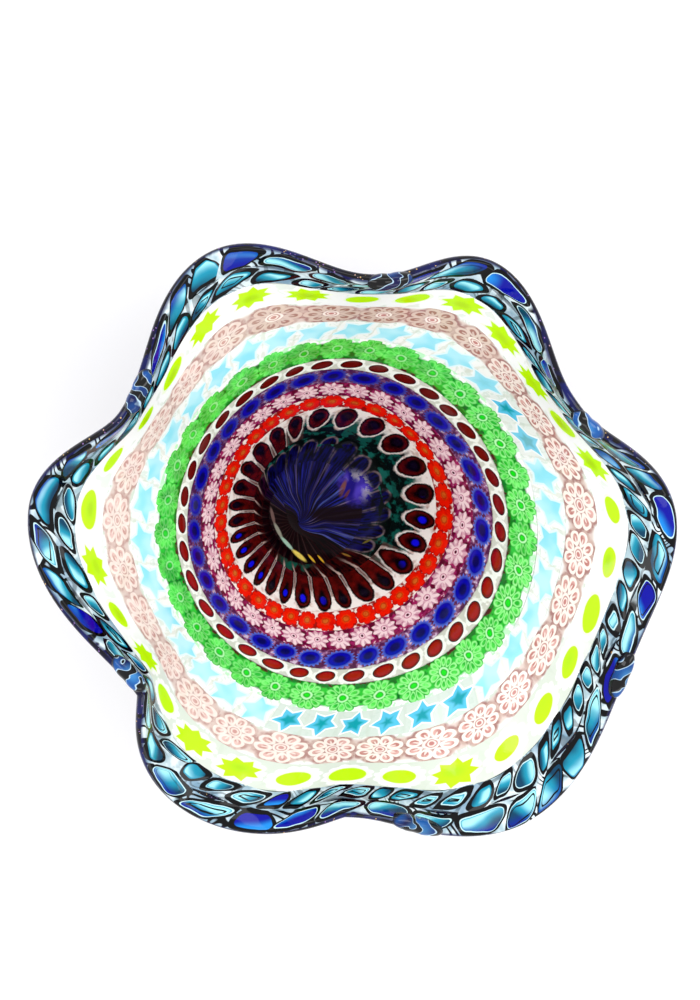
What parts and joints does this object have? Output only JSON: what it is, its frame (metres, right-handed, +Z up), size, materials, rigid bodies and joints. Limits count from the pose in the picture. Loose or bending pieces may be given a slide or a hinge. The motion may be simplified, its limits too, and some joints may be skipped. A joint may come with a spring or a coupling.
{
  "type": "art glass bowl",
  "caption": "Tall flared glass bowl with a scalloped rim and pinched knobs, lined inside with rings of fused patterned cane slices over a dark casing.",
  "frame": {"origin": "centre of the flat ground base, in the plane that it rests on", "axes": "+Z up through the bowl's mouth; +X and +Y across the rim, with a lobe of the rim near +X"},
  "size_m": [0.3946, 0.3738, 0.2148],
  "materials": {
    "core_swirl": "deep indigo glass with fine pale twisted streaks, fire-polished",
    "navy_drop_band": "near-black navy drops outlined in grey-pink on dark teal, fire-polished",
    "maroon_eye_band": "maroon drops with a blue eye, outlined in pinkish white, fire-polished",
    "orange_flower_band": "orange-red flowers with an orange centre, fire-polished",
    "plum_flower_band": "pale pink many-rayed flowers on plum, fire-polished",
    "cobalt_star_band": "cobalt ovals in a periwinkle serrated halo on mauve, fire-polished",
    "red_oval_band": "dark red ovals with a thin black outline on pale grey-green, fire-polished",
    "green_flower_band": "green many-petalled flowers with pale rings, fire-polished",
    "aqua_star_band": "aqua stars outlined in white on white, fire-polished",
    "rose_flower_band": "dusty rose flowers with thick white outlines, fire-polished",
    "lime_sun_band": "lime ovals and eight-point stars on white, fire-polished",
    "rim_drop_band": "teal drops in pale and black rings on blue-grey, fire-polished",
    "rim_pebble_band": "blue and teal pebbles in pale and black rings on blue-grey, fire-polished",
    "outer_casing": "deep violet-blue glass with gold and pink metal flakes, glossy",
    "lip_bead": "fire-polished rounded lip, the rim pattern running over it into violet-blue",
    "pinch": "cobalt, white and black striped pinched glass, fire-polished"
  },
  "bodies": {
    "root": {"core_swirl": "core_swirl", "navy_drop_band": "navy_drop_band", "maroon_eye_band": "maroon_eye_band", "orange_flower_band": "orange_flower_band", "plum_flower_band": "plum_flower_band", "cobalt_star_band": "cobalt_star_band", "red_oval_band": "red_oval_band", "green_flower_band": "green_flower_band", "aqua_star_band": "aqua_star_band", "rose_flower_band": "rose_flower_band", "lime_sun_band": "lime_sun_band", "rim_drop_band": "rim_drop_band", "rim_pebble_band": "rim_pebble_band", "outer_casing": "outer_casing", "lip_bead": "lip_bead", "pinch_1": "pinch", "pinch_2": "pinch", "pinch_3": "pinch", "pinch_4": "pinch", "pinch_5": "pinch", "pinch_6": "pinch"}
  },
  "joints": []
}
